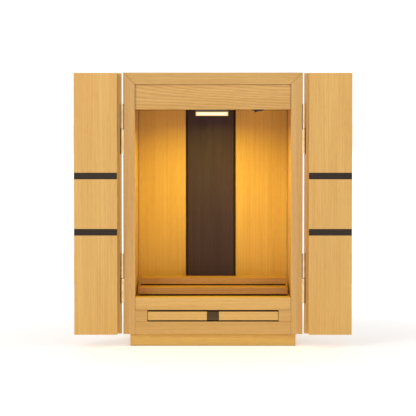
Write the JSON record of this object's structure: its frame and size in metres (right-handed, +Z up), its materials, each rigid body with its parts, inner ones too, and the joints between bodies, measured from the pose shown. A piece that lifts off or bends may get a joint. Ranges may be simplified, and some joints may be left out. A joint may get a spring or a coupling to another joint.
{
  "type": "household altar cabinet",
  "caption": "Tabletop household altar cabinet in pale wood with folding doors, lit interior, stepped boards and a pull-out offering shelf.",
  "frame": {"origin": "on the surface it stands on, under the centre of its box with the doors folded open", "axes": "+Z up, +Y from the front to the back, +X to the viewer's right"},
  "size_m": [0.557, 0.264, 0.548],
  "materials": {
    "case_veneer": "pale veneer with fine vertical grain, satin lacquer",
    "interior_veneer": "pale veneer, satin lacquer, seen in warm lamp light",
    "frame_wood": "pale straight-grained wood, satin lacquer",
    "rail_wood": "pale wood with horizontal cathedral grain, satin lacquer",
    "plinth_wood": "pale wood, satin lacquer",
    "step_wood": "pale wood with horizontal grain and eased edges",
    "door_veneer": "pale veneer with fine vertical grain, satin lacquer",
    "dark_wood": "dark walnut stain, satin",
    "stripe_wood": "dark walnut inlay, satin",
    "hinge_brass": "polished",
    "lamp_housing": "matt",
    "lamp_diffuser": "frosted, lit warm white",
    "switch_plastic": "black, lightly glossy"
  },
  "bodies": {
    "cabinet": {"left_side": "case_veneer", "right_side": "case_veneer", "top_board": "case_veneer", "bottom_board": "case_veneer", "floor_board": "interior_veneer", "ceiling_board": "interior_veneer", "back_board": "interior_veneer", "left_stile": "frame_wood", "right_stile": "frame_wood", "top_rail": "frame_wood", "bottom_rail": "frame_wood", "header_board": "rail_wood", "shelf_rail": "rail_wood", "left_slot_block": "rail_wood", "right_slot_block": "rail_wood", "plinth_front": "plinth_wood", "plinth_back": "plinth_wood", "plinth_left": "plinth_wood", "plinth_right": "plinth_wood", "lower_step": "step_wood", "upper_step": "step_wood", "dark_board": "dark_wood", "lamp_housing": "lamp_housing", "lamp_diffuser": "lamp_diffuser", "switch_body": "switch_plastic", "shelf_front": "rail_wood", "shelf_pull": "stripe_wood", "shelf_board": "step_wood", "left_runner": "step_wood", "right_runner": "step_wood", "left_upper_hinge_case_half": "hinge_brass", "left_lower_hinge_case_half": "hinge_brass", "right_upper_hinge_case_half": "hinge_brass", "right_lower_hinge_case_half": "hinge_brass"},
    "lamp_rocker": {"switch_rocker": "switch_plastic"},
    "left_inner": {"left_inner_leaf": "door_veneer", "left_inner_upper_stripe": "stripe_wood", "left_inner_lower_stripe": "stripe_wood", "left_upper_hinge_door_half": "hinge_brass", "left_lower_hinge_door_half": "hinge_brass", "left_upper_fold_inner_half": "hinge_brass", "left_lower_fold_inner_half": "hinge_brass"},
    "left_outer": {"left_outer_leaf": "door_veneer", "left_outer_upper_stripe": "stripe_wood", "left_outer_lower_stripe": "stripe_wood", "left_upper_fold_outer_half": "hinge_brass", "left_lower_fold_outer_half": "hinge_brass"},
    "right_inner": {"right_inner_leaf": "door_veneer", "right_inner_upper_stripe": "stripe_wood", "right_inner_lower_stripe": "stripe_wood", "right_upper_hinge_door_half": "hinge_brass", "right_lower_hinge_door_half": "hinge_brass", "right_upper_fold_inner_half": "hinge_brass", "right_lower_fold_inner_half": "hinge_brass"},
    "right_outer": {"right_outer_leaf": "door_veneer", "right_outer_upper_stripe": "stripe_wood", "right_outer_lower_stripe": "stripe_wood", "right_upper_fold_outer_half": "hinge_brass", "right_lower_fold_outer_half": "hinge_brass"}
  },
  "joints": [
    {"name": "left_door", "type": "hinge", "parent": "cabinet", "child": "left_inner", "pos_m": [-0.1818, -0.1084, 0.286], "axis": [0, 0, 1], "range_deg": [0, 180]},
    {"name": "left_fold", "type": "hinge", "parent": "left_inner", "child": "left_outer", "pos_m": [-0.277, -0.1105, 0.286], "axis": [0, 0, 1], "range_deg": [-180, 0]},
    {"name": "right_door", "type": "hinge", "parent": "cabinet", "child": "right_inner", "pos_m": [0.1818, -0.1084, 0.286], "axis": [0, 0, -1], "range_deg": [0, 180]},
    {"name": "right_fold", "type": "hinge", "parent": "right_inner", "child": "right_outer", "pos_m": [0.277, -0.1105, 0.286], "axis": [0, 0, -1], "range_deg": [-180, 0]},
    {"name": "lamp_switch", "type": "hinge", "parent": "cabinet", "child": "lamp_rocker", "pos_m": [0.091, -0.0785, 0.4741], "axis": [0, 1, 0], "range_deg": [0, 22]}
  ],
  "couplings": [
    {"joint": "left_fold", "follows": "left_door", "ratio": -1},
    {"joint": "right_fold", "follows": "right_door", "ratio": -1}
  ]
}
